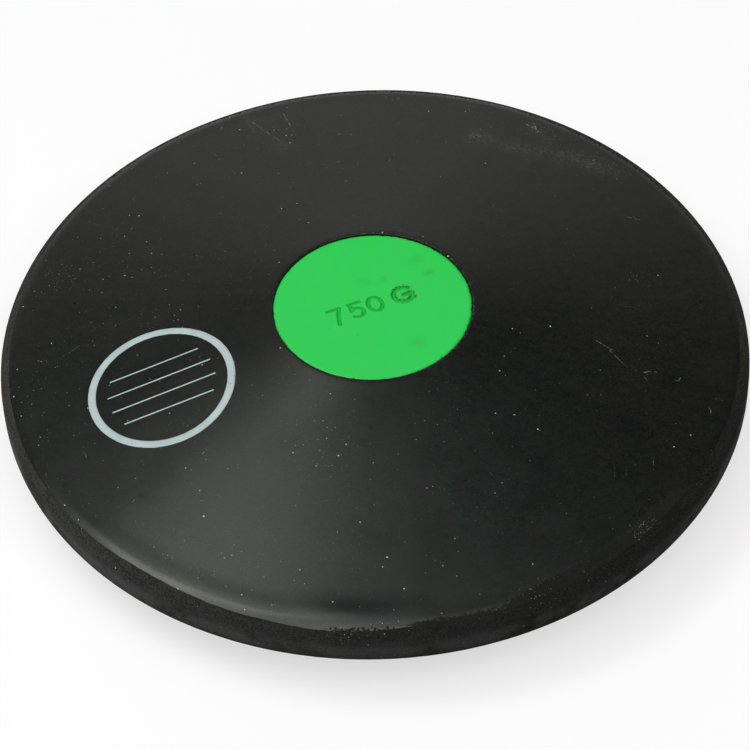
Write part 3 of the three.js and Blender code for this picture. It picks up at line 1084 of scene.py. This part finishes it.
# Strokes nearly as the CAD model has them: points, or arcs given as middle, reach and two angles,
# in shares of the box that the strokes' middle lines fill.
SEVEN = {"runs": (((0, 1), (1, 1)), ((1, 1), (0.62, 0.45), (0.36, -0.1)))}
FIVE = {"runs": (((0.1, 1), (1.05, 1)), ((0.2, 1.0), (0.09, 0.52))),
        "arcs": (((0.48, 0.32), (0.52, 0.32), (138, -135)),)}
ZERO = {"arcs": (((0.5, 0.5), (0.5, 0.5), (0, 360)),)}
GRAM = {"runs": (((0.56, 0.46), (0.97, 0.46), (0.95, 0.14)),),
        "arcs": (((0.5, 0.5), (0.5, 0.5), (42, 325)),)}
# Each character: its strokes, width, the space after it, and how stained its groove is.
MARK = ((SEVEN, 3.8, 1.0, 0.0), (FIVE, 3.8, 0.55, 0.0), (ZERO, 4.2, 2.0, 0.0), (GRAM, 5.4, 0.0, 1.0))


def stroke_lines(strokes):
    """The points of each stroke's middle line, in shares of the box."""
    lines = [list(run) for run in strokes.get("runs", ())]
    for (mx, my), (rx, ry), (first, last) in strokes.get("arcs", ()):
        turns = [math.radians(a) for a in spread(first, last, ARC_STEPS)]
        lines.append([(mx + rx * math.cos(t), my + ry * math.sin(t)) for t in turns])
    return lines


def mark_runs():
    """All straight runs of the mark as x1, y1, x2, y2 in metres, with each run's staining."""
    length = sum(width + space for _, width, space, _ in MARK)
    start = -length / 2
    runs, stains = [], []
    for strokes, width, space, stain in MARK:
        box_x, box_y = width - MARK_STROKE, MARK_HEIGHT - MARK_STROKE
        left, low = start + MARK_STROKE / 2, MARK_RISE - box_y / 2
        for shares in stroke_lines(strokes):
            line = [((left + x * box_x) * MM, (low + y * box_y) * MM) for x, y in shares]
            for a, b in zip(line, line[1:]):
                runs.append((*a, *b))
                stains.append(stain)
        start += width + space
    return np.array(runs), np.array(stains)


def mark_distance(points, runs):
    """How far each point lies from the mark's middle lines, and which run is nearest."""
    a, b = runs[:, :2], runs[:, 2:]
    best = np.full(len(points), 1.0)
    nearest = np.zeros(len(points), int)
    for k in range(len(runs)):
        along = b[k] - a[k]
        share = np.clip(((points - a[k]) @ along) / (along @ along), 0, 1)
        gap = np.linalg.norm(points - a[k] - share[:, None] * along, axis=1)
        closer = gap < best
        best[closer] = gap[closer]
        nearest[closer] = k
    return best, nearest


def soft_step(values, low, high):
    t = np.clip((values - low) / (high - low), 0, 1)
    return t * t * (3 - 2 * t)


PLATE_STEPS = 540
FINE_STEP = 0.11 * MM
COARSE_STEP = 0.8 * MM
WALL_INSIDE = 0.40 * MM
WALL_OUTSIDE = 0.08 * MM
STAIN_WIDTH = 0.17 * MM
FLAT_RADIUS = PLATE_RADIUS - 0.9 * MM
PLATE_EDGE_DROP = 0.32 * MM
PLATE_EDGE_STEPS = 7
PLATE_EDGE_GAP = 0.03 * MM
EDGED_FROM, EDGED_FULL = 0.3, 0.97
MERGE_REACH = 1e-7
ON_BORDER = FLAT_RADIUS - 1e-6
PLATE_FOOT_GAP = 0.1 * MM
GUARD_STEP = 0.3 * MM
# Half the size of the field with fine points, and how near the mark the fine and coarse ones end.
FINE_FIELD = (11.5 * MM, 4.5 * MM)
FINE_WITHIN = 0.85 * MM
COARSE_BEYOND = 1.05 * MM
# The plate's cut edge, each time as fineness, seed and reach in millimetres, and the side on which
# it is torn most, as the photograph sees it.
EDGE_WANDER = (6, 11, 0.07)
EDGE_RAGS = (60, 13, 0.10)
EDGE_BITES = (42, 17, 1.0)
BITTEN_FROM = 0.1
TORN_SIDE = math.radians(-55)


def plate_edge(azimuth, seed):
    """The plate's radius at an azimuth: a cut edge that wanders and is torn most on the near side."""
    def edge_noise(fineness, start, reach, least=None):
        value = round_noise(azimuth, fineness, start + seed)
        return reach * MM * (value if least is None else max(value - least, 0))

    torn = 0.5 + 0.5 * math.cos(azimuth - PHOTO_TURN + seed - TORN_SIDE)
    rags = edge_noise(*EDGE_RAGS) * (0.4 + 0.6 * torn)
    bite = edge_noise(*EDGE_BITES, BITTEN_FROM) * (0.2 + 0.8 * torn)
    return PLATE_RADIUS - PLATE_EDGE_GAP + edge_noise(*EDGE_WANDER) + rags - bite


def flat_points(runs):
    """Places for the plate's flat top: a border ring first, then points, close near the mark."""
    ring = np.array([(math.cos(t), math.sin(t)) for t in full_turn(PLATE_STEPS)])
    xs, ys = (np.arange(-reach, reach, FINE_STEP) for reach in FINE_FIELD)
    fine = np.stack(np.meshgrid(xs, ys + MARK_RISE * MM), -1).reshape(-1, 2)
    fine = fine[mark_distance(fine, runs)[0] < FINE_WITHIN]
    lines = np.arange(-FLAT_RADIUS, FLAT_RADIUS, COARSE_STEP)
    coarse = np.stack(np.meshgrid(lines, lines), -1).reshape(-1, 2)
    coarse[1::2, 1] += COARSE_STEP / 3
    coarse = coarse[np.linalg.norm(coarse, axis=1) < FLAT_RADIUS - 3 * GUARD_STEP]
    coarse = coarse[mark_distance(coarse, runs)[0] > COARSE_BEYOND]
    guards = [ring * (FLAT_RADIUS - GUARD_STEP * k) for k in (0, 1, 2)]
    return np.concatenate([*guards, fine, coarse])


def add_plate_edge(points, faces, rim, azimuths, seed):
    """Adds a plate's rounded edge, wall and seat, and gives each new point's share of the edge's look."""
    turns = spread(0, math.pi / 2, PLATE_EDGE_STEPS)[1:]
    profile = [(math.sin(t), PLATE_TOP - PLATE_EDGE_DROP * (1 - math.cos(t))) for t in turns]
    edged = []
    for share, height in profile + [(None, SEAT_HEIGHT)]:
        ring = []
        for azimuth in azimuths:
            r = PLATE_RADIUS - PLATE_FOOT_GAP
            if share is not None:
                r = FLAT_RADIUS + (plate_edge(azimuth, seed) - FLAT_RADIUS) * share
            ring.append(len(points))
            points.append((r * math.cos(azimuth), r * math.sin(azimuth), height))
            edged.append(1 if share is None else soft_step(share, EDGED_FROM, EDGED_FULL))
        join_rings(faces, rim, ring)
        rim = ring
    hub = len(points)
    points.append((0, 0, SEAT_HEIGHT))
    faces.extend((a, hub, b) for a, b in zip(rim, rim[1:] + rim[:1]))
    return edged + [1]


def centre_plate(name, up, material):
    """A plate with a rounded, ragged edge and the mark sunk in its top."""
    runs, stains = mark_runs()
    border = [(j, (j + 1) % PLATE_STEPS) for j in range(PLATE_STEPS)]
    places = [Vector(place) for place in flat_points(runs)]
    cut = geometry.delaunay_2d_cdt(places, border, [], 1, MERGE_REACH)
    flat, faces = np.array([tuple(p) for p in cut[0]]), [tuple(face) for face in cut[2]]
    gap, nearest = mark_distance(flat, runs)
    half = MARK_STROKE / 2 * MM
    sunk = 1 - soft_step(gap, half - WALL_INSIDE, half + WALL_OUTSIDE)
    stained = np.exp(-((gap - half) / STAIN_WIDTH) ** 2) * stains[nearest]
    points = [(x, y, PLATE_TOP - MARK_DEPTH * MM * deep) for (x, y), deep in zip(flat, sunk)]
    rim = np.nonzero(np.linalg.norm(flat, axis=1) > ON_BORDER)[0]
    azimuths = np.arctan2(flat[rim, 1], flat[rim, 0]) % (2 * math.pi)
    order = np.argsort(azimuths)
    seed = UPPER_SEED if up > 0 else LOWER_SEED
    edged = add_plate_edge(points, faces, rim[order].tolist(), azimuths[order], seed)
    placed = [(x, up * y, MIDDLE + up * z) for x, y, z in points]
    made = add_mesh(name, placed, faces, [material])
    rest = np.zeros(len(edged))
    add_values(made.data, "sunk", np.concatenate([sunk, rest]))
    add_values(made.data, "stained", np.concatenate([stained, rest]))
    add_values(made.data, "edged", [0] * len(flat) + edged)
    return made


# The print on the upper face

PRINT_DISTANCE = 50.5 * MM
PRINT_AZIMUTH = math.radians(177.8)
PRINT_TURN = math.radians(-6)
PRINT_OUTER = 16.6 * MM
PRINT_INNER = 14.85 * MM
PRINT_THICKNESS = 0.03 * MM
RING_STEPS, RING_BANDS, RULE_STEPS = 240, 4, 60
# How both edges of the ring wander: fineness, the seed's step from band to band, and reach.
RING_WANDER = (14, 9.0, 0.05 * MM)
RULE_WIDTH = 0.32 * MM
RULE_SPACING = 4.3 * MM
RULE_COUNT = 4
RULE_CIRCLE = 12.2 * MM


def on_face(x, y, lift):
    """A point on the upper face at a place, lifted a little off it."""
    return (x, y, MIDDLE + face_height(math.hypot(x, y)) + waviness(x, y, UPPER_SEED) + lift)


def printed(name, patches, material, closed=False):
    """Thin raised ink that follows the face. Each patch is a grid of places, row by row."""
    points, faces = [], []
    for grid in patches:
        rows, columns, start = len(grid), len(grid[0]), len(points)
        for lift in (PRINT_THICKNESS, -PRINT_THICKNESS):
            points.extend(on_face(x, y, lift) for row in grid for x, y in row)

        def at(i, j, layer=0):
            return start + (layer * rows + i) * columns + j % columns

        def wall(a, b):
            faces.append((at(*a), at(*a, 1), at(*b, 1), at(*b)))

        last, across = rows - 1, range(columns if closed else columns - 1)
        for i in range(last):
            for j in across:
                faces.append((at(i, j), at(i, j + 1), at(i + 1, j + 1), at(i + 1, j)))
                faces.append((at(i, j, 1), at(i + 1, j, 1), at(i + 1, j + 1, 1), at(i, j + 1, 1)))
        for j in across:
            wall((0, j), (0, j + 1))
            wall((last, j + 1), (last, j))
        for i in range(0 if closed else last):
            wall((i + 1, 0), (i, 0))
            wall((i, -1), (i + 1, -1))
    return add_mesh(name, points, faces, [material])


def print_centre():
    return PRINT_DISTANCE * math.cos(PRINT_AZIMUTH), PRINT_DISTANCE * math.sin(PRINT_AZIMUTH)


def ring_patch():
    """The printed ring as circles from its inner edge to its outer one."""
    cx, cy = print_centre()
    fineness, seed_step, reach = RING_WANDER
    grid = []
    for i, radius in enumerate(spread(PRINT_INNER, PRINT_OUTER, RING_BANDS)):
        row = []
        for turn in full_turn(RING_STEPS):
            r = radius
            if i in (0, RING_BANDS):
                r += reach * round_noise(turn, fineness, i * seed_step)
            row.append((cx + r * math.cos(turn), cy + r * math.sin(turn)))
        grid.append(row[::-1])
    return grid


def rule_patches():
    """The plain rules inside the ring, each as three lines of places."""
    cx, cy = print_centre()
    c, s = math.cos(PRINT_TURN), math.sin(PRINT_TURN)
    patches = []
    for k in range(RULE_COUNT):
        up = (k - (RULE_COUNT - 1) / 2) * RULE_SPACING
        half = math.sqrt(RULE_CIRCLE ** 2 - up ** 2)
        lines = (up - RULE_WIDTH / 2, up, up + RULE_WIDTH / 2)
        patches.append([[(cx + u * c - v * s, cy + u * s + v * c)
                         for u in spread(-half, half, RULE_STEPS)] for v in lines])
    return patches


# The floor, the sky and the lamps

FLOOR_CORNERS = ((-40, -40), (40, -40), (40, 40), (-40, 40))
FLOOR_DROP = 0.02 * MM
FLOOR_WHITE = 0.45
FLOOR_GLOW = 0.62


def background_share(tree):
    """One on camera, glossy and transmission rays, and nothing on the others."""
    path = add(tree, "LightPath").outputs
    return most(tree, *(path["Is %s Ray" % kind] for kind in ("Camera", "Glossy", "Transmission")))


def make_floor():
    """A plain white floor. Its own colour takes the object's shadow."""
    corners = [(x, y, -FLOOR_DROP) for x, y in FLOOR_CORNERS]
    material = bpy.data.materials.new("white_floor")
    material.use_nodes = True
    tree = material.node_tree
    tree.nodes.remove(tree.nodes["Principled BSDF"])
    white = add(tree, "BsdfDiffuse", None, color=(FLOOR_WHITE, FLOOR_WHITE, FLOOR_WHITE, 1))
    glow = add(tree, "Emission", None, color=(1, 1, 1, 1),
               strength=product(tree, background_share(tree), FLOOR_GLOW))
    both = add(tree, "AddShader", None, i0=white.outputs[0], i1=glow.outputs[0])
    tree.links.new(both.outputs[0], tree.nodes["Material Output"].inputs["Surface"])
    floor = add_mesh("floor", corners, [(0, 1, 2, 3)], [material])


# The sky as brightness by direction: white at the horizon, then a soft grey behind the object.
HORIZON_WHITE = 0.67
HORIZON_FROM = 0.06
HORIZON_TO = 0.13
SKY_LEVEL = -0.895
SKY_AWAY = 1.491
SKY_RIGHT = -0.117
SKY_LEAST = 0.02


def make_sky():
    world = bpy.data.worlds.new("studio")
    world.use_nodes = True
    tree = world.node_tree
    where = add(tree, "TexCoord").outputs["Generated"]
    away, right = photo_place(0, 1), photo_place(1, 0)
    slope = away * SKY_AWAY + right * SKY_RIGHT
    leaning = vector_math(tree, "DOT_PRODUCT", where, tuple(slope))
    grey = most(tree, calculated(tree, "ADD", leaning, SKY_LEVEL), SKY_LEAST)
    height = add(tree, "SeparateXYZ", None, vector=where).outputs["Z"]
    low = ramp(tree, height, HORIZON_FROM, HORIZON_TO, 1, 0)
    level = add(tree, "Mix", {"data_type": "FLOAT"}, i0=low, i2=grey, i3=HORIZON_WHITE).outputs[0]
    tree.links.new(level, tree.nodes["Background"].inputs["Strength"])
    tree.nodes["Background"].inputs["Color"].default_value = (1, 1, 1, 1)
    bpy.context.scene.world = world


# Each lamp: where it would lie on a ceiling 2.4 m up as the photograph sees it, its size there, how
# it is turned, its brightness, and the share of that height at which it hangs.
CEILING = 2.4
LAMPS = {
    "overhead_softbox": ((-1.15, -0.616), (2.785, 2.639), -9.2, 1.44, 1.0),
    "left_softbox": ((-1.253, 0.191), (1.397, 0.508), 18.5, 5.75, 0.94),
    "small_softbox": ((-0.529, 1.077), (0.256, 0.589), -10.9, 4.6, 0.97),
}
# The front lamp: its place as the photograph sees it, its size and its brightness.
FRONT_LAMP = ((0.544, -1.494, 2.544), (2.4, 1.75), 2.6)


def add_lamp(name, place, size, brightness, turn):
    """A rectangular softbox. Its power follows from its brightness and its area."""
    data = bpy.data.lights.new(name, "AREA")
    data.shape = "RECTANGLE"
    data.size, data.size_y = size
    data.energy = brightness * size[0] * size[1] * math.pi
    lamp = bpy.data.objects.new(name, data)
    lamp.location = photo_place(*place)
    lamp.rotation_mode = "QUATERNION"
    lamp.rotation_quaternion = turn
    bpy.context.scene.collection.objects.link(lamp)


def make_lamps():
    for name, ((right, away), (long, wide), degrees, brightness, share) in LAMPS.items():
        turn = Quaternion((0, 0, 1), PHOTO_TURN + math.radians(degrees))
        place = (right * share, away * share, CEILING * share)
        add_lamp(name, place, (long * share, wide * share), brightness, turn)
    place, size, brightness = FRONT_LAMP
    towards = Vector((0, 0, MIDDLE)) - photo_place(*place)
    add_lamp("front_softbox", place, size, brightness, towards.to_track_quat("-Z", "Y"))


# The pieces

def dress(piece, replaced=None):
    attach(piece, "root")
    if replaced:
        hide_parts(replaced)


moulded, buffed = moulded_rubber(), buffed_rubber()
green = plate_rubber()
ink = print_ink()
steel = core_steel()

dress(body_half("upper_body_moulding", 1, [moulded, buffed]), "upper_body")
dress(body_half("lower_body_moulding", -1, [moulded, buffed]), "lower_body")
dress(keys("upper_keys", 1, moulded))
dress(keys("lower_keys", -1, moulded))
dress(centre_plate("upper_plate", 1, green), "upper_centre_plate")
dress(centre_plate("lower_plate", -1, green), "lower_centre_plate")
dress(printed("printed_ring", [ring_patch()], ink, closed=True))
dress(printed("printed_rules", rule_patches(), ink))
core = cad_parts["core_weight"]
core.data.materials.clear()
core.data.materials.append(steel)

make_floor()
make_sky()
make_lamps()
bpy.context.scene.view_settings.view_transform = "Standard"
